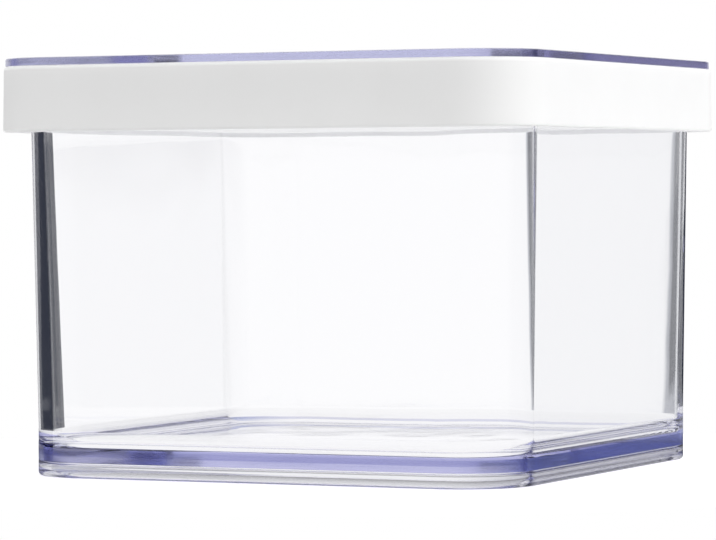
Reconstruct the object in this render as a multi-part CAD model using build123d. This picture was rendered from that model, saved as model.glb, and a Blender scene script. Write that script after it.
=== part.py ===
from build123d import *

import math
import os

# A clear square storage box with a lift-off lid. The box is one clear moulding.
# The lid is a white moulded frame with a clear plate on top and a soft seal
# round its plug. Lengths are in millimetres and angles in degrees. The origin is
# on the ground, under the middle of the box. +X runs along one side, +Z is up.

# Clear tub, measured outside at the rim
tub_length = 150.0
tub_width = 150.0
tub_height = 109.8
tub_corner_radius = 21.5
cavity_corner_radius = 18.0
rim_wall = 3.3
wall_at_floor = 3.2
wall_draft = 1.0
rim_round = 0.8

# Foot of the tub: an upright base with a shallow recess under the floor
base_height = 14.0
foot_height = 4.0
foot_wall = 3.4
foot_round = 1.0
floor_thickness = 3.6
floor_fillet = 5.0
recess_fillet = 1.2

# White frame of the lid: a skirt outside the tub, joined by a flange to a plug inside it
lid_overhang = 5.0
lid_corner_radius = 20.0
band_height = 17.9
band_draft = 1.0
band_top_round = 1.1
band_foot_round = 0.9
skirt_wall = 2.2
flange_thickness = 2.2
plug_gap = 1.2
plug_wall = 2.4
plug_end_setback = 1.2
plug_end_round = 0.6

# Ribs inside the skirt that centre the lid on the tub
ribs_per_side = 3
rib_spacing = 42.0
rib_thickness = 1.2
rib_clearance = 0.4
rib_end_setback = 3.0

# Soft seal in a groove round the plug
groove_top_drop = 6.8
groove_height = 4.2
groove_depth = 1.0
seal_clearance = 0.25
lip_count = 2
lip_pitch = 2.0
first_lip_height = 0.4
lip_thickness = 0.7
lip_rise = 0.8

# Clear plate on the frame, with a rib under it that fits into the frame's opening
plate_thickness = 2.2
plate_inset = 0.4
plate_edge_round = 0.4
locating_rib_height = 1.4
locating_rib_width = 1.6
locating_rib_gap = 0.15

# One length by which every cutting shape runs past what it cuts
overrun = 1.0

# How far an edge may lie from a level and still be picked as lying at it
level_tolerance = 0.01

# Plan outlines as length, width and corner radius
tub_outline = (tub_length, tub_width, tub_corner_radius)
lid_outline = (
    tub_length + 2 * lid_overhang,
    tub_width + 2 * lid_overhang,
    lid_corner_radius,
)

# Levels above the ground
floor_level = foot_height + floor_thickness
flange_top = tub_height + flange_thickness
plate_top = flange_top + plate_thickness
band_foot = flange_top - band_height
plug_end = band_foot + plug_end_setback
groove_top = flange_top - groove_top_drop
groove_foot = groove_top - groove_height

# Inset of the tub's upright base, and the slope of its inner wall
base_inset = (tub_height - base_height) * math.tan(math.radians(wall_draft))
wall_narrowing = base_inset + wall_at_floor - rim_wall
bore_draft = math.degrees(math.atan(wall_narrowing / (tub_height - floor_level)))


def cavity_plan(level, inset=0):
    """Outline set in from the tub's inner wall at a level. The wall keeps its corner radius."""
    narrowing = (tub_height - level) * math.tan(math.radians(bore_draft))
    shrink = 2 * (rim_wall + narrowing + inset)
    return (tub_length - shrink, tub_width - shrink, cavity_corner_radius - inset)


def block(outline, inset, bottom, top, spread=0.0):
    """Block on an outline set in by inset, which widens by the angle spread as it rises."""
    length, width, radius = outline
    plan = RectangleRounded(length - 2 * inset, width - 2 * inset, radius - inset)
    return Pos(0, 0, bottom) * extrude(plan, amount=top - bottom, taper=-spread)


def drafted_core(plan, bottom, top):
    """Block that widens as the tub's inner wall does, with one radius up its corners."""
    length, width, radius = plan
    core = Pos(0, 0, bottom) * extrude(Rectangle(length, width), amount=top - bottom, taper=-bore_draft)
    rising_edges = core.edges().group_by(Axis.Z)[1]
    return fillet(rising_edges, radius)


def edges_at(solid, level):
    """Edges that lie flat at one level."""
    return solid.edges().filter_by_position(Axis.Z, level - level_tolerance, level + level_tolerance)


def make_tub():
    """Upright base, drafted walls and a thick floor over a shallow recess."""
    body = block(tub_outline, base_inset, 0, base_height)
    body += block(tub_outline, base_inset, base_height, tub_height, wall_draft)
    body = fillet(edges_at(body, 0), foot_round)
    hollow = drafted_core(cavity_plan(floor_level), floor_level, tub_height + overrun)
    hollow = fillet(edges_at(hollow, floor_level), floor_fillet)
    recess = block(tub_outline, base_inset + foot_wall, -overrun, foot_height)
    recess = fillet(edges_at(recess, foot_height), recess_fillet)
    body = body - hollow - recess
    return fillet(edges_at(body, tub_height), rim_round)


def centring_ribs():
    """Upright ribs that reach from the skirt to just short of the tub's outer wall."""
    rib_foot = band_foot + rib_end_setback
    rib_height = tub_height + flange_thickness / 2 - rib_foot
    reach = lid_overhang - skirt_wall / 2 - rib_clearance
    middle = rib_clearance + reach / 2
    place_z = rib_foot + rib_height / 2
    ribs = []
    for index in range(ribs_per_side):
        along = (index - (ribs_per_side - 1) / 2) * rib_spacing
        for side in (-1, 1):
            place_x = side * (tub_length / 2 + middle)
            place_y = side * (tub_width / 2 + middle)
            ribs.append(Pos(place_x, along, place_z) * Box(reach, rib_thickness, rib_height))
            ribs.append(Pos(along, place_y, place_z) * Box(rib_thickness, reach, rib_height))
    return ribs


def make_lid_frame():
    """Skirt, flange and plug in one moulding, with the seal's groove round the plug."""
    body = block(lid_outline, 0, band_foot, flange_top, -band_draft)
    body = fillet(edges_at(body, band_foot), band_foot_round)
    body = fillet(edges_at(body, flange_top), band_top_round)
    channel = block(lid_outline, skirt_wall, band_foot, tub_height, -band_draft)
    channel += block(lid_outline, skirt_wall, band_foot - overrun, band_foot)
    window = cavity_plan(plug_end, plug_gap + plug_wall)
    opening = block(window, 0, band_foot - overrun, flange_top + overrun)
    plug_root = tub_height + flange_thickness / 2
    plug = drafted_core(cavity_plan(plug_end, plug_gap), plug_end, plug_root) - opening
    plug = fillet(edges_at(plug, plug_end), plug_end_round)
    groove = block(lid_outline, 0, groove_foot, groove_top)
    groove -= block(cavity_plan(groove_foot, plug_gap + groove_depth), 0, groove_foot, groove_top)
    return body - channel - opening + centring_ribs() + (plug - groove)


def make_seal_ring():
    """Flat band in the groove with thin lips that slope up towards the tub's wall."""
    root = cavity_plan(groove_foot, plug_gap)
    tip = cavity_plan(groove_foot, seal_clearance)
    seat = cavity_plan(groove_foot, plug_gap + groove_depth)
    slope = math.degrees(math.atan((plug_gap - seal_clearance) / lip_rise))
    body = block(root, 0, groove_foot, groove_top)
    for index in range(lip_count):
        start = groove_foot + first_lip_height + index * lip_pitch
        bend = start + lip_rise
        lip = block(root, 0, start, bend, slope)
        lip += block(tip, 0, bend, bend + lip_thickness)
        lip -= block(root, 0, start + lip_thickness, bend + lip_thickness, slope)
        body += lip
    return body - block(seat, 0, groove_foot - overrun, groove_top + overrun)


def make_lid_plate():
    """Clear plate with softened top edges and a locating rib on its underside."""
    edge_inset = band_height * math.tan(math.radians(band_draft)) + plate_inset
    plate = block(lid_outline, edge_inset, flange_top, plate_top)
    plate = fillet(edges_at(plate, plate_top), plate_edge_round)
    rib_foot = flange_top - locating_rib_height
    rib_outside = cavity_plan(plug_end, plug_gap + plug_wall + locating_rib_gap)
    rib = block(rib_outside, 0, rib_foot, flange_top)
    rib -= block(rib_outside, locating_rib_width, rib_foot, flange_top)
    return plate + rib


def main():
    os.makedirs("parts", exist_ok=True)
    pieces = {
        "tub": make_tub(),
        "lid_frame": make_lid_frame(),
        "lid_plate": make_lid_plate(),
        "seal_ring": make_seal_ring(),
    }
    for name, piece in pieces.items():
        export_step(piece, f"parts/{name}.step")
        size = piece.bounding_box().size
        print(f"{name}: {size.X:.1f} x {size.Y:.1f} x {size.Z:.1f} mm, {piece.volume / 1000:.1f} cm3")


main()
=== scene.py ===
# %% [markdown]
# # A clear storage box with a white-framed lid
#
# The real box has four pieces: one clear moulded tub, a white moulded lid frame,
# a clear plate on that frame and a soft seal round its plug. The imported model
# already holds each of them at its real size. What is left to do is mostly about
# light: clear plastic shows nothing but what it bends, so the curves have to be
# smooth, the walls as thick as the real ones, and the studio needs something dark
# beside the box for its corners to pick up.

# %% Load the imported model
import math

import bmesh
import bpy
from mathutils import Matrix, Vector


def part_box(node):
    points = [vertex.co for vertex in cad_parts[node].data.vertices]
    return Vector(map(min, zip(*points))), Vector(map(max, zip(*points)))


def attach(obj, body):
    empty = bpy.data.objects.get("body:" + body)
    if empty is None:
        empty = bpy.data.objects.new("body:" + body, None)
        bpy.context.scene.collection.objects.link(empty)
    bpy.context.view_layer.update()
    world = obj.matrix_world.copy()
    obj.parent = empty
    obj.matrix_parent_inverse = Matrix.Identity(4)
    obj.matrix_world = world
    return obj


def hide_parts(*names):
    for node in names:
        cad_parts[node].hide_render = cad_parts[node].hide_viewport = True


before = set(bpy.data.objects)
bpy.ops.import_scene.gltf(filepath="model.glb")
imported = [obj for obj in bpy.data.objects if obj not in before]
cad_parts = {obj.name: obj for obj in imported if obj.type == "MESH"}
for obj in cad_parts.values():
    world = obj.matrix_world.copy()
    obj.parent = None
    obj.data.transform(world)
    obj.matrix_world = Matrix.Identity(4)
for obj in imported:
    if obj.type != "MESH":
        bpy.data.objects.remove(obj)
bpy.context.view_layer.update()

print("packed nodes:", sorted(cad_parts))

# %% [markdown]
# ## Sizes
#
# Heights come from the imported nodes. Walls and rounds can't be read from a
# bounding box, so they are named here in metres. All four pieces are rounded
# squares, and one corner of their outline needs only three numbers: half the
# square's side, the height, and the radius of the square's corner at that height.

# %% Sizes of the tub
mm = 0.001
tub_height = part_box("tub")[1].z
tub_half = 75.0 * mm
tub_corner = 21.5 * mm
cavity_corner = 18.0 * mm
rim_wall = 3.3 * mm
wall_at_floor = 3.2 * mm
draft = math.radians(1.0)
wall_slope = math.tan(draft)
base_height = 14.0 * mm
foot_height = 4.0 * mm
foot_wall = 3.4 * mm
floor_thickness = 3.6 * mm
rim_round = 0.8 * mm
floor_round = 5.0 * mm
foot_round = 1.0 * mm
recess_round = 1.2 * mm
floor_level = foot_height + floor_thickness
base_inset = (tub_height - base_height) * wall_slope
cavity_slope = (base_inset + wall_at_floor - rim_wall) / (tub_height - floor_level)


def cavity_half(level):
    """Half the clear width between the tub's inner walls at a level."""
    return tub_half - rim_wall - (tub_height - level) * cavity_slope


print("inside width at the floor, mm:", round(2 * cavity_half(floor_level) / mm, 2))

# %% Sizes of the lid
frame_low, frame_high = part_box("lid_frame")
plate_low, plate_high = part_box("lid_plate")
lid_half = 80.0 * mm
lid_corner = 20.0 * mm
band_foot, flange_top = frame_low.z, frame_high.z
band_slope = math.tan(draft)
skirt_wall = 2.2 * mm
plug_gap = 1.2 * mm
plug_wall = 2.4 * mm
plug_setback = 1.2 * mm
groove_drop = 6.8 * mm
groove_height = 4.2 * mm
groove_depth = 1.0 * mm
band_top_round = 1.1 * mm
band_foot_round = 0.9 * mm
channel_round = 0.5 * mm
skirt_round = 0.3 * mm
groove_round = 0.1 * mm
plug_round = 0.6 * mm
window_round = 0.2 * mm
plug_end = band_foot + plug_setback
groove_top = flange_top - groove_drop
groove_foot = groove_top - groove_height
air_gap = 0.05 * mm
print("band, mm:", round(band_foot / mm, 2), "to", round(flange_top / mm, 2))

# %% [markdown]
# ## Outlines with real rounds
#
# A moulded edge is never sharp. Each outline below is a short list of corners, and
# each corner may carry the radius of its round. A Bevel modifier could round the
# edges afterwards, but its width is hard to keep exact where walls slope, and
# clear plastic shows every error. Working the arcs out is exact, and needs only
# the two directions that meet at the corner.

# %% A helper that rounds the corners of an outline
arc_step = math.radians(9)


def rounded(corners, closed=False):
    """Points of an outline through corners of half side, height, round and corner radius."""
    points = []
    count = len(corners)
    for index, (half, height, radius, corner) in enumerate(corners):
        here = Vector((half, height))
        at_end = not closed and index in (0, count - 1)
        if radius == 0 or at_end:
            points.append((half, height, corner))
            continue
        back = (Vector(corners[index - 1][:2]) - here).normalized()
        ahead = (Vector(corners[(index + 1) % count][:2]) - here).normalized()
        opening = back.angle(ahead)
        reach = radius / math.tan(opening / 2)
        centre = here + (back + ahead).normalized() * (radius / math.sin(opening / 2))
        first = here + back * reach - centre
        last = here + ahead * reach - centre
        sweep = math.pi - opening
        steps = max(4, math.ceil(sweep / arc_step))
        turn = sweep if first.cross(last) > 0 else -sweep
        for step in range(steps + 1):
            place = centre + Matrix.Rotation(turn * step / steps, 2) @ first
            points.append((place.x, place.y, corner - (half - place.x)))
    return points


right_angle = rounded([(0, 1, 0, 0), (0, 0, 0.1, 0), (1, 0, 0, 0)])
print("one right-angled round has", len(right_angle) - 2, "points")

# %% [markdown]
# ## One tree for every rounded square
#
# A swept curve would give every wall the same corner centres, but the tub's inner
# wall keeps its corner radius all the way down, as a core with draft does. So the
# Geometry Nodes tree lays a grid instead: one direction of the grid runs along the
# outline, the other round the square, and each point is placed by a rule. The
# square's corner centres lie at half side minus corner radius, and from there an
# arc of that radius is drawn. The flat walls need no points of their own. The
# outline is handed over as a small mesh whose three coordinates are the three
# numbers, and the tree merges the seam where the grid closes on itself.

# %% Small helpers for building node trees


def node_maker(tree):
    """Returns short functions that add a node and link two sockets."""

    def add(kind, **settings):
        node = tree.nodes.new(kind)
        for name, value in settings.items():
            setattr(node, name, value)
        return node

    def feed(source, target):
        if hasattr(source, "is_output"):
            tree.links.new(source, target)
        else:
            target.default_value = source

    return add, feed


def math_steps(add, feed, kind="ShaderNodeMath"):
    """Returns a function that adds one sum and gives its result."""

    def sum_of(operation, *values):
        node = add(kind, operation=operation)
        for socket, value in zip(node.inputs, values):
            feed(value, socket)
        return node.outputs[0]

    return sum_of


# %% The tree that builds a rounded square from an outline


def rounded_square_tree():
    """A grid laid round a square, one row of it at each point of an outline."""
    tree = bpy.data.node_groups.new("rounded_square_from_outline", "GeometryNodeTree")
    sockets = tree.interface
    sockets.new_socket("Outline", in_out="INPUT", socket_type="NodeSocketObject")
    sockets.new_socket("Corner Steps", in_out="INPUT", socket_type="NodeSocketInt")
    sockets.new_socket("Finish", in_out="INPUT", socket_type="NodeSocketMaterial")
    sockets.new_socket("Geometry", in_out="OUTPUT", socket_type="NodeSocketGeometry")
    add, feed = node_maker(tree)
    sum_of = math_steps(add, feed)
    given, result = add("NodeGroupInput"), add("NodeGroupOutput")
    outline = add("GeometryNodeObjectInfo")
    feed(given.outputs["Outline"], outline.inputs["Object"])
    size = add("GeometryNodeAttributeDomainSize", component="MESH")
    feed(outline.outputs["Geometry"], size.inputs[0])
    levels = size.outputs["Point Count"]
    steps = given.outputs["Corner Steps"]
    per_corner = sum_of("ADD", steps, 1.0)
    ring = sum_of("MULTIPLY", per_corner, 4.0)
    grid = add("GeometryNodeMeshGrid")
    feed(sum_of("ADD", ring, 1.0), grid.inputs["Vertices X"])
    feed(levels, grid.inputs["Vertices Y"])
    index = add("GeometryNodeInputIndex").outputs[0]
    along_ring = sum_of("MODULO", sum_of("FLOOR", sum_of("DIVIDE", index, levels)), ring)
    level = sum_of("MODULO", index, levels)
    corner = sum_of("FLOOR", sum_of("DIVIDE", sum_of("ADD", along_ring, 0.5), per_corner))
    in_corner = sum_of("SUBTRACT", along_ring, sum_of("MULTIPLY", corner, per_corner))
    share = sum_of("DIVIDE", in_corner, steps)
    quarter = math.pi / 2
    angle = sum_of("MULTIPLY", sum_of("ADD", corner, share), quarter)
    middle = sum_of("MULTIPLY", sum_of("ADD", corner, 0.5), quarter)
    place = add("GeometryNodeInputPosition")
    sample = add("GeometryNodeSampleIndex", data_type="FLOAT_VECTOR", domain="POINT")
    feed(outline.outputs["Geometry"], sample.inputs["Geometry"])
    feed(place.outputs[0], sample.inputs["Value"])
    feed(level, sample.inputs["Index"])
    numbers = add("ShaderNodeSeparateXYZ")
    feed(sample.outputs[0], numbers.inputs[0])
    half, height, radius = numbers.outputs[:3]
    reach = sum_of("MULTIPLY", sum_of("SUBTRACT", half, radius), math.sqrt(2))
    put = add("ShaderNodeCombineXYZ")
    for name, axis in (("COSINE", "X"), ("SINE", "Y")):
        centre = sum_of("MULTIPLY", reach, sum_of(name, middle))
        feed(sum_of("ADD", centre, sum_of("MULTIPLY", radius, sum_of(name, angle))), put.inputs[axis])
    feed(height, put.inputs["Z"])
    move = add("GeometryNodeSetPosition")
    feed(grid.outputs["Mesh"], move.inputs["Geometry"])
    feed(put.outputs[0], move.inputs["Position"])
    merge = add("GeometryNodeMergeByDistance")
    feed(move.outputs[0], merge.inputs["Geometry"])
    feed(0.001 * mm, merge.inputs["Distance"])
    realize = add("GeometryNodeRealizeInstances")
    finish = add("GeometryNodeSetMaterial")
    feed(merge.outputs[0], realize.inputs["Geometry"])
    feed(realize.outputs[0], finish.inputs["Geometry"])
    feed(given.outputs["Finish"], finish.inputs["Material"])
    feed(finish.outputs[0], result.inputs["Geometry"])
    return tree


square_tree = rounded_square_tree()
corner_steps = 30
print("tree of", len(square_tree.nodes), "nodes lays", corner_steps, "steps round each corner")

# %% Run a tree and keep the plain mesh


def placed(name, data):
    """A new object in the scene that holds the given mesh, light or camera."""
    holder = bpy.data.objects.new(name, data)
    bpy.context.scene.collection.objects.link(holder)
    return holder


def set_input(modifier, name, value):
    """Sets a tree's named input by the socket's identifier."""
    for item in modifier.node_group.interface.items_tree:
        if item.item_type == "SOCKET" and item.in_out == "INPUT" and item.name == name:
            modifier[item.identifier] = value


def grown(name, tree, inputs):
    """A new object whose mesh is what the tree makes, with no modifier left on it."""
    piece = placed(name, bpy.data.meshes.new(name))
    modifier = piece.modifiers.new("grow", "NODES")
    modifier.node_group = tree
    for key, value in inputs.items():
        set_input(modifier, key, value)
    settle(piece)
    return piece


def settle(piece):
    """Turns what the modifiers give into the piece's plain mesh."""
    graph = bpy.context.evaluated_depsgraph_get()
    mesh = bpy.data.meshes.new_from_object(piece.evaluated_get(graph))
    piece.modifiers.clear()
    piece.data = mesh


def handed_over(name, points, closed):
    """The outline as a mesh: half side, height and corner radius are its x, y and z."""
    mesh = bpy.data.meshes.new(name)
    mesh.from_pydata(list(points) + ([points[0]] if closed else []), [], [])
    return placed(name, mesh)


print("a tree's result is kept as a plain mesh, and its modifier is removed")

# %% [markdown]
# ## Closing and shading
#
# Where an outline is open, its two ends lie flat above and below the middle of the
# box, and one face closes each. Faces are then turned outwards and shaded smooth.
# Smooth shading alone would let a flat wall lean towards its neighbours, and a
# clear wall that leans bends what is behind it. The Weighted Normal modifier gives
# the large faces the say, so walls stay flat and only the rounds bend light.

# %% A helper that finishes a rounded square


def closed_up(piece):
    """Fills the open ends, turns faces outwards and shades the piece smooth."""
    shell = bmesh.new()
    shell.from_mesh(piece.data)
    bmesh.ops.holes_fill(shell, edges=[edge for edge in shell.edges if edge.is_boundary])
    bmesh.ops.recalc_face_normals(shell, faces=shell.faces)
    for side in shell.faces:
        side.smooth = True
    left_open = sum(not edge.is_manifold for edge in shell.edges)
    shell.to_mesh(piece.data)
    shell.free()
    weigh = piece.modifiers.new("weigh", "WEIGHTED_NORMAL")
    weigh.mode = "FACE_AREA"
    settle(piece)
    xs = [vert.co.x for vert in piece.data.vertices]
    zs = [vert.co.z for vert in piece.data.vertices]
    spans = [round(v / mm, 2) for v in (min(xs), max(xs), min(zs), max(zs))]
    print(piece.name, len(piece.data.polygons), "faces, open edges:", left_open)
    print("x and z in mm:", spans)
    return piece


def rounded_square(name, corners, material, closed=False):
    """A piece made from an outline carried round the square."""
    outline = handed_over(name + "_outline", rounded(corners, closed), closed)
    inputs = {"Outline": outline, "Corner Steps": corner_steps, "Finish": material}
    piece = grown(name, square_tree, inputs)
    bpy.data.objects.remove(outline)
    return closed_up(piece)


# %% [markdown]
# ## Finishes
#
# All four plastics came out of a mould, and a mould leaves the same marks on each:
# slow waves where a wall shrank as it cooled, fine grain from the steel, and
# patches that handling has rubbed smoother. One node group makes these marks from
# object coordinates, in metres, so they keep their size on every piece, and each
# material only sets how strong they are.

# %% A helper for shader groups


def group_sockets(name, inputs, outputs):
    """A new shader group with named inputs, their usual values, and outputs."""
    group = bpy.data.node_groups.new(name, "ShaderNodeTree")
    for key, value in inputs.items():
        kind = "NodeSocketColor" if isinstance(value, tuple) else "NodeSocketFloat"
        socket = group.interface.new_socket(key, in_out="INPUT", socket_type=kind)
        socket.default_value = value
    for key in outputs:
        kind = "NodeSocketColor" if key == "Color" else "NodeSocketFloat"
        group.interface.new_socket(key, in_out="OUTPUT", socket_type=kind)
    return group


def group_inputs(group):
    """Names of a group's inputs, for the printed line under a cell."""
    return [item.name for item in group.interface.items_tree if item.in_out == "INPUT"]


# %% The group for a moulded surface
white = (1.0, 1.0, 1.0, 1.0)
patch_size = 18.0 * mm


def moulded_surface_group():
    """Slow waves of a moulded wall, fine grain and faint rubbed patches."""
    inputs = {
        "Wave Size": 30.0 * mm, "Wave Height": 1.0, "Grain Size": 0.4 * mm, "Grain Height": 0.1,
        "Roughness": 0.3, "Rubbed": 0.05, "Light Tone": white, "Dark Tone": (0.9, 0.9, 0.9, 1.0),
    }
    group = group_sockets("moulded_surface", inputs, ("Color", "Roughness", "Height"))
    add, feed = node_maker(group)
    sum_of = math_steps(add, feed)
    given, result = add("NodeGroupInput"), add("NodeGroupOutput")
    where = add("ShaderNodeTexCoord").outputs["Object"]

    def noise(size, detail):
        pattern = add("ShaderNodeTexNoise")
        feed(where, pattern.inputs["Vector"])
        feed(sum_of("DIVIDE", 1.0, size), pattern.inputs["Scale"])
        pattern.inputs["Detail"].default_value = detail
        return pattern.outputs["Fac"]

    waves = noise(given.outputs["Wave Size"], detail=1.0)
    grain = noise(given.outputs["Grain Size"], detail=3.0)
    patches = noise(patch_size, detail=4.0)
    height = sum_of("ADD", sum_of("MULTIPLY", waves, given.outputs["Wave Height"]),
                    sum_of("MULTIPLY", grain, given.outputs["Grain Height"]))
    feed(height, result.inputs["Height"])
    rubbed = sum_of("MULTIPLY", sum_of("SUBTRACT", patches, 0.5), given.outputs["Rubbed"])
    rough = sum_of("ADD", rubbed, given.outputs["Roughness"])
    feed(sum_of("MAXIMUM", rough, 0.0), result.inputs["Roughness"])
    tone = add("ShaderNodeMix", data_type="RGBA")
    feed(patches, tone.inputs["Factor"])
    feed(given.outputs["Dark Tone"], tone.inputs[6])
    feed(given.outputs["Light Tone"], tone.inputs[7])
    feed(tone.outputs[2], result.inputs["Color"])
    return group


surface_group = moulded_surface_group()
print("moulded surface takes", group_inputs(surface_group))

# %% A helper for every plastic


def plastic(name, surface, mark_depth):
    """A Principled material whose colour, roughness and height come from the shared group."""
    material = bpy.data.materials.new(name)
    material.use_nodes = True
    add, feed = node_maker(material.node_tree)
    shader = material.node_tree.nodes["Principled BSDF"]
    effect = add("ShaderNodeGroup", node_tree=surface_group)
    for key, value in surface.items():
        effect.inputs[key].default_value = value
    bump = add("ShaderNodeBump")
    bump.inputs["Distance"].default_value = mark_depth
    feed(effect.outputs["Height"], bump.inputs["Height"])
    feed(bump.outputs["Normal"], shader.inputs["Normal"])
    feed(effect.outputs["Color"], shader.inputs["Base Color"])
    feed(effect.outputs["Roughness"], shader.inputs["Roughness"])
    return material, shader


print("a plastic is the shared surface plus its own shader settings")

# %% [markdown]
# ## Violet and painted shade in the edges
#
# Clear plastic of this kind is toned with a trace of violet, which hides the yellow
# of the raw resin. Through a 3 mm wall nobody sees it. Looking into the edge of the
# floor, the eye looks through 150 mm of it, and there the box is strongly violet.
# Absorption in the volume gives part of this. The rest comes from light that has run around in the
# slab for far longer than a renderer follows it, and that loss of light is painted as shade: the
# upright faces at the ends of the slab take a dark violet tint of their own, and those of the foot a
# painted grey. The photo shows the tint deeper on the side that is seen at a shallow angle, so each
# pair of sides has its own painted shade. It also shows the violet soft, without sharp mirror images,
# so the same faces take a faint haze.

# %% The group for violet edges with painted shade


def violet_and_shade_edge_group():
    """Upright faces between two levels take a tint of violet and painted shade, and a haze, and all
    others stay plain.
    """
    inputs = {
        "Foot Level": 0.0, "Top Level": 1.0, "Softness": 0.2 * mm, "Edge Haze": 0.0,
        "Plain": white, "Y Sides": (0.5, 0.5, 0.7, 1.0), "X Sides": (0.2, 0.2, 0.5, 1.0),
    }
    group = group_sockets("edge_violet_and_painted_shade", inputs, ("Color", "Haze"))
    add, feed = node_maker(group)
    sum_of = math_steps(add, feed)
    given, result = add("NodeGroupInput"), add("NodeGroupOutput")
    place, facing = add("ShaderNodeSeparateXYZ"), add("ShaderNodeSeparateXYZ")
    feed(add("ShaderNodeTexCoord").outputs["Object"], place.inputs[0])
    feed(add("ShaderNodeNewGeometry").outputs["True Normal"], facing.inputs[0])
    soft = given.outputs["Softness"]
    above = sum_of("DIVIDE", sum_of("SUBTRACT", place.outputs["Z"], given.outputs["Foot Level"]), soft)
    below = sum_of("DIVIDE", sum_of("SUBTRACT", given.outputs["Top Level"], place.outputs["Z"]), soft)
    inside = sum_of("MAXIMUM", sum_of("MINIMUM", sum_of("MINIMUM", above, below), 1.0), 0.0)
    upright = sum_of("LESS_THAN", sum_of("ABSOLUTE", facing.outputs["Z"]), 0.5)
    # The two pairs of sides take different tints, and the darker one is painted shade for the side
    # seen at a shallow angle.
    sides = add("ShaderNodeMix", data_type="RGBA")
    feed(sum_of("MULTIPLY", facing.outputs["X"], facing.outputs["X"]), sides.inputs["Factor"])
    feed(given.outputs["Y Sides"], sides.inputs[6])
    feed(given.outputs["X Sides"], sides.inputs[7])
    edge = sum_of("MULTIPLY", inside, upright)
    feed(sum_of("MULTIPLY", edge, given.outputs["Edge Haze"]), result.inputs["Haze"])
    tint = add("ShaderNodeMix", data_type="RGBA")
    feed(edge, tint.inputs["Factor"])
    feed(given.outputs["Plain"], tint.inputs[6])
    feed(sides.outputs[2], tint.inputs[7])
    feed(tint.outputs[2], result.inputs["Color"])
    return group


violet_and_shade_group = violet_and_shade_edge_group()
print("violet edges take", group_inputs(violet_and_shade_group))

# %% A helper for clear plastic
clear_index = 1.5
violet_density = 4.0


def clear_plastic(name, wave_size, wave_depth, edges, depth_colour):
    """Polished clear plastic that turns violet with depth, with edges between levels tinted and
    painted darker as shade.
    """
    surface = {"Wave Size": wave_size, "Grain Height": 0.0, "Roughness": 0.0, "Rubbed": 0.0}
    material, shader = plastic(name, surface, wave_depth)
    shader.inputs["Transmission Weight"].default_value = 1.0
    shader.inputs["IOR"].default_value = clear_index
    add, feed = node_maker(material.node_tree)
    sum_of = math_steps(add, feed)
    colour = white
    rough = shader.inputs["Roughness"].links[0].from_socket
    for foot, top, haze, y_sides, x_sides in edges:
        tint = add("ShaderNodeGroup", node_tree=violet_and_shade_group)
        feed(colour, tint.inputs["Plain"])
        tint.inputs["Foot Level"].default_value = foot
        tint.inputs["Top Level"].default_value = top
        tint.inputs["Edge Haze"].default_value = haze
        tint.inputs["Y Sides"].default_value = y_sides
        tint.inputs["X Sides"].default_value = x_sides
        colour = tint.outputs["Color"]
        rough = sum_of("ADD", rough, tint.outputs["Haze"])
    feed(colour, shader.inputs["Base Color"])
    feed(rough, shader.inputs["Roughness"])
    depth = add("ShaderNodeVolumeAbsorption")
    depth.inputs["Color"].default_value = depth_colour
    depth.inputs["Density"].default_value = violet_density
    feed(depth.outputs[0], material.node_tree.nodes["Material Output"].inputs["Volume"])
    return material


print("clear plastic bends light by", clear_index)

# %% [markdown]
# ## The four materials
#
# The tub and the plate are polished, so they have no grain at all. Their waves are less than a tenth
# of a millimetre deep, just enough to make the lines behind them run a little unevenly, as they do in
# the photo. Both take painted shade on their upright edges: grey on the tub's foot, dark violet on the
# floor slab and on the plate's rim, darkest on the sides that face along X. On the sides that face
# along Y the photo shows the violet only in the upper half of the floor slab, so that painted violet
# shade is laid over the slab's upper half, after its haze. The white frame is satin, and scatters
# light under its surface as white mouldings do. The seal is milky rubber.

# %% The four materials
slab_middle = floor_level - floor_thickness / 2
# Dark violet for the slab's upright faces: the dye's own violet, deepened by painted shade where light
# is lost in the slab.
slab_violet_and_shade = (0.11, 0.15, 0.44, 1.0)
slab_haze = 0.15
plate_haze = 0.10
above_plate = plate_high.z + mm
satin_depth = 0.1 * mm
# Each edge gives its foot and top, its haze, and the tints of its Y and X sides, which are painted
# shade
clear_tub = clear_plastic(
    "clear_moulding",
    wave_size=25.0 * mm,
    wave_depth=0.08 * mm,
    edges=[
        # The foot's upright faces are painted grey as shade, and much darker on the X sides.
        (0.0, foot_height, 0.0, (0.95, 0.95, 0.97, 1.0), (0.62, 0.62, 0.68, 1.0)),
        (foot_height, floor_level, slab_haze, white, slab_violet_and_shade),
        # Painted violet shade on the upper half of the slab's Y sides.
        (slab_middle, floor_level, 0.0, (0.53, 0.54, 0.72, 1.0), slab_violet_and_shade),
    ],
    depth_colour=(0.10, 0.10, 0.70, 1.0),
)
clear_plate = clear_plastic(
    "clear_sheet",
    wave_size=60.0 * mm,
    wave_depth=0.04 * mm,
    # The plate's upright rim is painted as shade, faintly on the Y sides and dark violet on the X
    # sides.
    edges=[(0.0, above_plate, plate_haze, (0.90, 0.91, 0.95, 1.0), (0.40, 0.38, 0.56, 1.0))],
    depth_colour=(0.10, 0.10, 0.60, 1.0),
)
white_frame, frame_shader = plastic(
    "white_satin",
    {"Wave Size": 50.0 * mm, "Wave Height": 0.4, "Grain Size": 0.5 * mm, "Grain Height": 0.12,
     "Roughness": 0.36, "Rubbed": 0.08,
     "Light Tone": (0.93, 0.93, 0.926, 1.0), "Dark Tone": (0.90, 0.90, 0.896, 1.0)},
    mark_depth=satin_depth,
)
frame_shader.inputs["Subsurface Weight"].default_value = 0.4
frame_shader.inputs["Subsurface Radius"].default_value = (1.0, 1.0, 1.0)
frame_shader.inputs["Subsurface Scale"].default_value = 3.0 * mm
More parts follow.
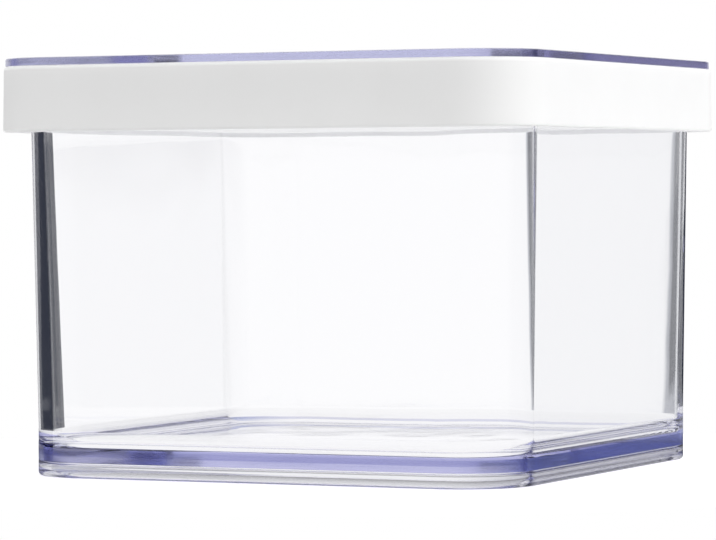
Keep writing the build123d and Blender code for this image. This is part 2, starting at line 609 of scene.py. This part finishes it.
soft_seal = plastic(
    "milky_seal",
    {"Wave Size": 20.0 * mm, "Wave Height": 0.5, "Grain Size": 0.6 * mm, "Grain Height": 0.2,
     "Roughness": 0.45, "Rubbed": 0.1,
     "Light Tone": (0.76, 0.78, 0.79, 1.0), "Dark Tone": (0.70, 0.72, 0.73, 1.0)},
    mark_depth=satin_depth,
)[0]
print("materials:", [m.name for m in (clear_tub, clear_plate, white_frame, soft_seal)])

# %% [markdown]
# ## The tub
#
# The tub is one injection moulding: a thick floor over a shallow recess, an
# upright foot and four walls that widen by one degree. Its outline starts in the
# middle of the floor, climbs the inside, rounds the rim and comes down the outside
# to the foot and the recess. Both sides of the wall have to be in one closed mesh,
# because the light is bent once at each side and tinted by the depth between them.
# The large round inside, at the floor's edge, is what draws the bright lines above
# the violet band.

# %% Tub
rim_level = tub_height - air_gap
base_half = tub_half - base_inset
base_corner = tub_corner - base_inset
recess_half = base_half - foot_wall
recess_corner = base_corner - foot_wall
middle_half = 30.0 * mm
middle_corner = 10.0 * mm
tub_corners = [
    (middle_half, floor_level, 0, middle_corner),
    (cavity_half(floor_level), floor_level, floor_round, cavity_corner),
    (cavity_half(rim_level), rim_level, rim_round, cavity_corner),
    (tub_half, rim_level, rim_round, tub_corner),
    (base_half, base_height, 0, base_corner),
    (base_half, 0, foot_round, base_corner),
    (recess_half, 0, 0, recess_corner),
    (recess_half, foot_height, recess_round, recess_corner),
    (middle_half, foot_height, 0, middle_corner),
]
tub = rounded_square("clear_box", tub_corners, clear_tub)
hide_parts("tub")
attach(tub, "tub")

# %% [markdown]
# ## The white frame
#
# From outside only the band shows, but the frame is a channel turned upside down:
# the band outside the tub's wall, a flange that lies on the rim, and a plug inside
# with a groove for the seal. Its outline closes on itself, so the same tree makes
# it without any flat middle. The top edge is the roundest, because there the photo
# shows a bright line all along the lid, and the underside is visible too, through
# the clear tub.

# %% Lid frame
plug_half = cavity_half(tub_height) - plug_gap
plug_corner = cavity_corner - plug_gap
window_half = cavity_half(plug_end) - plug_gap - plug_wall
window_corner = plug_corner - plug_wall
groove_half = cavity_half(groove_foot) - plug_gap - groove_depth
inner_skirt = lid_half - skirt_wall
inner_top = inner_skirt - (tub_height - band_foot) * band_slope
band_top = lid_half - (flange_top - band_foot) * band_slope
frame_corners = [
    (lid_half, band_foot, band_foot_round, lid_corner),
    (inner_skirt, band_foot, skirt_round, lid_corner - skirt_wall),
    (inner_top, tub_height, channel_round, lid_corner - lid_half + inner_top),
    (plug_half, tub_height, skirt_round, plug_corner),
    (cavity_half(groove_top) - plug_gap, groove_top, groove_round, plug_corner),
    (groove_half, groove_top, 0, plug_corner - groove_depth),
    (groove_half, groove_foot, 0, plug_corner - groove_depth),
    (cavity_half(groove_foot) - plug_gap, groove_foot, groove_round, plug_corner),
    (cavity_half(plug_end) - plug_gap, plug_end, plug_round, plug_corner),
    (window_half, plug_end, plug_round, window_corner),
    (window_half, flange_top, window_round, window_corner),
    (band_top, flange_top, band_top_round, lid_corner - lid_half + band_top),
]
lid_frame = rounded_square("white_lid_frame", frame_corners, white_frame, closed=True)
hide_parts("lid_frame")
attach(lid_frame, "lid")

# %% [markdown]
# ## Ribs that centre the lid
#
# Inside the skirt, three upright ribs on each side stop just short of the tub's
# wall, so that the lid drops on without play. They are all alike and stand by a
# rule, so one rib is modelled and a second tree sets it on points: the point's
# number gives its side of the square and its place along that side.

# %% The tree that sets ribs round the square


def rib_row_tree():
    """One rib set on points, the same number along each side of the square."""
    tree = bpy.data.node_groups.new("ribs_round_square", "GeometryNodeTree")
    sockets = tree.interface
    sockets.new_socket("Rib", in_out="INPUT", socket_type="NodeSocketObject")
    sockets.new_socket("Ribs per Side", in_out="INPUT", socket_type="NodeSocketInt")
    sockets.new_socket("Spacing", in_out="INPUT", socket_type="NodeSocketFloat")
    sockets.new_socket("Finish", in_out="INPUT", socket_type="NodeSocketMaterial")
    sockets.new_socket("Geometry", in_out="OUTPUT", socket_type="NodeSocketGeometry")
    add, feed = node_maker(tree)
    sum_of = math_steps(add, feed)
    given, result = add("NodeGroupInput"), add("NodeGroupOutput")
    per_side = given.outputs["Ribs per Side"]
    line = add("GeometryNodeMeshLine")
    feed(sum_of("MULTIPLY", per_side, 4.0), line.inputs["Count"])
    index = add("GeometryNodeInputIndex").outputs[0]
    side = sum_of("FLOOR", sum_of("DIVIDE", sum_of("ADD", index, 0.5), per_side))
    turn = sum_of("MULTIPLY", side, math.pi / 2)
    in_side = sum_of("SUBTRACT", index, sum_of("MULTIPLY", side, per_side))
    from_middle = sum_of("SUBTRACT", in_side, sum_of("DIVIDE", sum_of("SUBTRACT", per_side, 1.0), 2.0))
    along = sum_of("MULTIPLY", from_middle, given.outputs["Spacing"])
    put, facing = add("ShaderNodeCombineXYZ"), add("ShaderNodeCombineXYZ")
    feed(sum_of("MULTIPLY", along, sum_of("SINE", sum_of("MULTIPLY", turn, -1.0))), put.inputs["X"])
    feed(sum_of("MULTIPLY", along, sum_of("COSINE", turn)), put.inputs["Y"])
    feed(turn, facing.inputs["Z"])
    move = add("GeometryNodeSetPosition")
    feed(line.outputs[0], move.inputs["Geometry"])
    feed(put.outputs[0], move.inputs["Position"])
    rib = add("GeometryNodeObjectInfo")
    feed(given.outputs["Rib"], rib.inputs["Object"])
    stand = add("GeometryNodeInstanceOnPoints")
    feed(move.outputs[0], stand.inputs["Points"])
    feed(rib.outputs["Geometry"], stand.inputs["Instance"])
    feed(facing.outputs[0], stand.inputs["Rotation"])
    realize = add("GeometryNodeRealizeInstances")
    finish = add("GeometryNodeSetMaterial")
    feed(stand.outputs[0], realize.inputs["Geometry"])
    feed(realize.outputs[0], finish.inputs["Geometry"])
    feed(given.outputs["Finish"], finish.inputs["Material"])
    feed(finish.outputs[0], result.inputs["Geometry"])
    return tree


rib_tree = rib_row_tree()
print("tree of", len(rib_tree.nodes), "nodes sets the ribs")

# %% Centring ribs
ribs_per_side = 3
rib_spacing = 42.0 * mm
rib_thickness = 1.2 * mm
rib_round = 0.25 * mm
rib_clearance = 0.4 * mm
rib_setback = 3.0 * mm
sunk_in = 0.4 * mm
rib_near = tub_half + rib_clearance
rib_far = inner_top + sunk_in
rib_foot = band_foot + rib_setback
rib_top = tub_height + sunk_in
shape = bmesh.new()
bmesh.ops.create_cube(shape, size=1)
for vert in shape.verts:
    vert.co = Vector((
        (rib_near + rib_far) / 2 + vert.co.x * (rib_far - rib_near),
        vert.co.y * rib_thickness,
        (rib_foot + rib_top) / 2 + vert.co.z * (rib_top - rib_foot),
    ))
bmesh.ops.bevel(
    shape, geom=shape.edges[:], offset=rib_round, segments=3, profile=0.5, affect="EDGES"
)
rib_mesh = bpy.data.meshes.new("rib")
shape.to_mesh(rib_mesh)
shape.free()
one_rib = placed("rib", rib_mesh)
rib_inputs = {
    "Rib": one_rib, "Ribs per Side": ribs_per_side, "Spacing": rib_spacing, "Finish": white_frame,
}
ribs = grown("centring_ribs", rib_tree, rib_inputs)
bpy.data.objects.remove(one_rib)
closed_up(ribs)
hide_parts("lid_frame")
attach(ribs, "lid")

# %% [markdown]
# ## The clear plate
#
# The plate lies on the frame with a small ring under it that drops into the frame's
# opening and keeps it in place. A hair of air is left between plate and frame. Where
# two clear or glossy faces coincide, the renderer can't tell which comes first, and
# the real pieces only touch here and there as well.

# %% Lid plate
plate_inset = 0.4 * mm
plate_round = 0.4 * mm
plate_foot_round = 0.1 * mm
ring_gap = 0.15 * mm
ring_width = 1.6 * mm
ring_round = 0.2 * mm
plate_half = band_top - plate_inset
plate_corner = lid_corner - lid_half + plate_half
plate_foot = flange_top + air_gap
ring_half = window_half - ring_gap
ring_corner = window_corner - ring_gap
plate_corners = [
    (middle_half, plate_high.z, 0, middle_corner),
    (plate_half, plate_high.z, plate_round, plate_corner),
    (plate_half, plate_foot, plate_foot_round, plate_corner),
    (ring_half, plate_foot, 0, ring_corner),
    (ring_half, plate_low.z, ring_round, ring_corner),
    (ring_half - ring_width, plate_low.z, ring_round, ring_corner - ring_width),
    (ring_half - ring_width, plate_foot, 0, ring_corner - ring_width),
    (middle_half, plate_foot, 0, middle_corner),
]
plate = rounded_square("clear_lid_plate", plate_corners, clear_plate)
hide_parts("lid_plate")
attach(plate, "lid")

# %% [markdown]
# ## The seal
#
# The seal sits in the plug's groove and is hidden while the lid is on. The packed
# model already has its two thin lips, so the node stays as it is and only gets its
# rubber.

# %% Seal
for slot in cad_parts["seal_ring"].material_slots:
    slot.material = soft_seal
print("seal:", [slot.material.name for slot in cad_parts["seal_ring"].material_slots])

# %% [markdown]
# ## What the clear walls see
#
# A clear box in an all-white room is nearly invisible. In the photo its corners are
# drawn by dark lines, because each rounded corner bends the view far to the side,
# and beside the white sheet of a photo studio the room is dark. So this one is white
# with three screens round it: a dark one to the left of what the camera looks at, a
# narrow dark one with a grey edge almost behind the box, and one to the right that
# is light grey below and darker above. The last two take two panels each, a later
# panel lying over an earlier one. Panels are told by bearing, in degrees from +Y
# towards +X, and by height above the horizon. Floor and backdrop stay plain white to
# the camera itself.

# %% The group for the studio's screens


def screens_group(panels):
    """Tone of the studio by bearing and height in degrees: white, with grey and dark panels."""
    group = group_sockets("studio_screens", {"Bearing": 0.0, "Height": 0.0}, ("Color",))
    add, feed = node_maker(group)
    sum_of = math_steps(add, feed)
    given, result = add("NodeGroupInput"), add("NodeGroupOutput")

    def window(value, first, last, soft):
        """One between two limits, nothing outside them, with soft edges."""
        into = sum_of("DIVIDE", sum_of("SUBTRACT", value, first), soft)
        out_of = sum_of("DIVIDE", sum_of("SUBTRACT", last, value), soft)
        return sum_of("MAXIMUM", sum_of("MINIMUM", sum_of("MINIMUM", into, out_of), 1.0), 0.0)

    tone = white
    for first, last, foot, top, soft_sides, soft_top, shade in panels:
        across = window(given.outputs["Bearing"], first, last, soft_sides)
        upward = window(given.outputs["Height"], foot, top, soft_top)
        layer = add("ShaderNodeMix", data_type="RGBA")
        feed(sum_of("MULTIPLY", across, upward), layer.inputs["Factor"])
        feed(tone, layer.inputs[6])
        feed((*shade, 1.0), layer.inputs[7])
        tone = layer.outputs[2]
    feed(tone, result.inputs["Color"])
    return group


# %% Place the screens
screen_top = 1.2
# First and last bearing, foot and top, softness of the sides, softness of foot and top, shade
panels = [
    (-104, -42, -5.6, screen_top, 1.2, 0.3, (0.036, 0.040, 0.056)),
    (-15, 4, -4.4, screen_top, 1.0, 0.3, (0.38, 0.39, 0.43)),
    (-13.6, 8, -3.5, screen_top, 1.0, 0.3, (0.030, 0.033, 0.050)),
    (4, 84, -14.0, 22.0, 2.0, 0.3, (0.24, 0.24, 0.28)),
    (4, 84, -13.0, 2.1, 2.0, 1.6, (0.74, 0.75, 0.77)),
]
screen_tree = screens_group(panels)
print(len(panels), "panels, tree of", len(screen_tree.nodes), "nodes")

# %% The studio
soft_strength = 0.685
studio = bpy.data.worlds.new("studio")
bpy.context.scene.world = studio
studio.use_nodes = True
studio.node_tree.nodes.clear()
add, feed = node_maker(studio.node_tree)
sum_of = math_steps(add, feed)
path = add("ShaderNodeLightPath")
split = add("ShaderNodeSeparateXYZ")
feed(add("ShaderNodeTexCoord").outputs["Generated"], split.inputs[0])
degrees = 180 / math.pi
screened = add("ShaderNodeGroup", node_tree=screen_tree)
bearing = sum_of("ARCTAN2", split.outputs["X"], split.outputs["Y"])
feed(sum_of("MULTIPLY", bearing, degrees), screened.inputs["Bearing"])
feed(sum_of("MULTIPLY", sum_of("ARCSINE", split.outputs["Z"]), degrees), screened.inputs["Height"])
bare = add("ShaderNodeMix", data_type="RGBA")
feed(path.outputs["Is Camera Ray"], bare.inputs["Factor"])
feed(screened.outputs["Color"], bare.inputs[6])
bare.inputs[7].default_value = white
shown = add("ShaderNodeBackground")
feed(bare.outputs[2], shown.inputs["Color"])
soft_light = add("ShaderNodeBackground")
soft_light.inputs["Color"].default_value = white
soft_light.inputs["Strength"].default_value = soft_strength
bent = sum_of("MAXIMUM", path.outputs["Is Glossy Ray"], path.outputs["Is Transmission Ray"])
mix = add("ShaderNodeMixShader")
feed(sum_of("MAXIMUM", path.outputs["Is Camera Ray"], bent), mix.inputs[0])
feed(soft_light.outputs[0], mix.inputs[1])
feed(shown.outputs[0], mix.inputs[2])
out = add("ShaderNodeOutputWorld")
feed(mix.outputs[0], out.inputs["Surface"])
print("soft light from all round at", soft_strength)

# %% [markdown]
# ## The floor
#
# The box stands on a small round sheet of paper, which glows a little to the camera,
# so that it turns white in the picture and keeps the faint shadow at the foot. Seen
# through the clear floor it has to be nearly as white as the sheet behind, or a grey
# ellipse would show inside the box. In the mirror of the outside faces it is dimmer,
# as paper is that runs away from the light, and that lets the violet of the base
# come through.

# %% Floor
floor_reach = 170.0 * mm
floor_segments = 96
floor_drop = 0.1 * mm
disc = bmesh.new()
bmesh.ops.create_circle(disc, cap_ends=True, segments=floor_segments, radius=floor_reach)
floor_mesh = bpy.data.meshes.new("floor")
disc.to_mesh(floor_mesh)
disc.free()
floor = placed("floor", floor_mesh)
floor.location.z = -floor_drop

paper_tone = (0.82, 0.82, 0.82, 1.0)
camera_glow = 0.4
seen_through = 0.95
lost_in_mirror = 0.75
paper = bpy.data.materials.new("white_paper")
paper.use_nodes = True
add, feed = node_maker(paper.node_tree)
sum_of = math_steps(add, feed)
shader = paper.node_tree.nodes["Principled BSDF"]
shader.inputs["Base Color"].default_value = paper_tone
shader.inputs["Roughness"].default_value = 1.0
shader.inputs["Specular IOR Level"].default_value = 0.0
shader.inputs["Emission Color"].default_value = white
path = add("ShaderNodeLightPath")
glow = sum_of("MULTIPLY", path.outputs["Is Camera Ray"], camera_glow)
feed(glow, shader.inputs["Emission Strength"])
mirrored = sum_of("SUBTRACT", path.outputs["Is Glossy Ray"], path.outputs["Is Transmission Ray"])
bright = add("ShaderNodeEmission")
strength = sum_of("MULTIPLY_ADD", sum_of("MAXIMUM", mirrored, 0.0), -lost_in_mirror, seen_through)
feed(strength, bright.inputs["Strength"])
mix = add("ShaderNodeMixShader")
bent = sum_of("MAXIMUM", path.outputs["Is Glossy Ray"], path.outputs["Is Transmission Ray"])
feed(bent, mix.inputs[0])
feed(shader.outputs[0], mix.inputs[1])
feed(bright.outputs[0], mix.inputs[2])
feed(mix.outputs[0], paper.node_tree.nodes["Material Output"].inputs["Surface"])
floor.data.materials.append(paper)
print("paper disc of", round(2 * floor_reach / mm), "mm")

# %% [markdown]
# ## Lamps
#
# A large soft box on the right makes the short side of the lid the brighter one,
# and another above lights the plate's rim. Neither shows in the clear walls, which
# see only the studio with its screens, the floor and the box itself.

# %% Lamps


def lamp(name, place, target, size, power):
    """A square soft box that lights the object but isn't seen in it."""
    data = bpy.data.lights.new(name, "AREA")
    data.size = size
    data.energy = power
    holder = placed(name, data)
    holder.location = place
    holder.rotation_euler = (Vector(target) - Vector(place)).to_track_quat("-Z", "Y").to_euler()
    holder.visible_camera = False
    holder.visible_glossy = False
    holder.visible_transmission = False
    print(name, "of", power, "W at", place)


lamp("side_lamp", place=(1.1, 0.15, 0.45), target=(0, 0, 0.06), size=0.8, power=5.5)
lamp("top_lamp", place=(0.0, 0.0, 1.1), target=(0, 0, 0.05), size=1.2, power=7.0)

# %% [markdown]
# ## Camera
#
# The camera was worked out from the outlines in the photo: the lid's straight
# edges, the foot and the rounded corners. It stands just over a metre away, below
# the lid, and looks down by about one degree, with a long lens. Light may pass
# through the slab of the floor dozens of times before it leaves, so the paths are
# allowed to be long, and they stay sharp after the light has met a white face.

# %% Camera
camera_place = Vector((0.4725465, -1.0144849, 0.0785732))
camera_ahead = Vector((-0.4242689, 0.9052968, -0.0208216))
camera_roll = math.radians(-0.3089)
focal_pixels = 3968.11
image_width = 716
sensor_width = 36.0
data = bpy.data.cameras.new("camera")
data.sensor_width = sensor_width
data.lens = focal_pixels / image_width * data.sensor_width
data.clip_start = 10.0 * mm
camera = placed("camera", data)
look = camera_ahead.to_track_quat("-Z", "Y").to_matrix() @ Matrix.Rotation(camera_roll, 3, "Z")
camera.matrix_world = Matrix.Translation(camera_place) @ look.to_4x4()
bpy.context.scene.camera = camera
bpy.context.scene.view_settings.view_transform = "Standard"
longest_path = 48
longest_white_path = 12
cycles = bpy.context.scene.cycles
cycles.max_bounces = longest_path
cycles.transmission_bounces = longest_path
cycles.glossy_bounces = longest_path
cycles.diffuse_bounces = longest_white_path
cycles.blur_glossy = 0.0
print("lens, mm:", round(data.lens, 1))
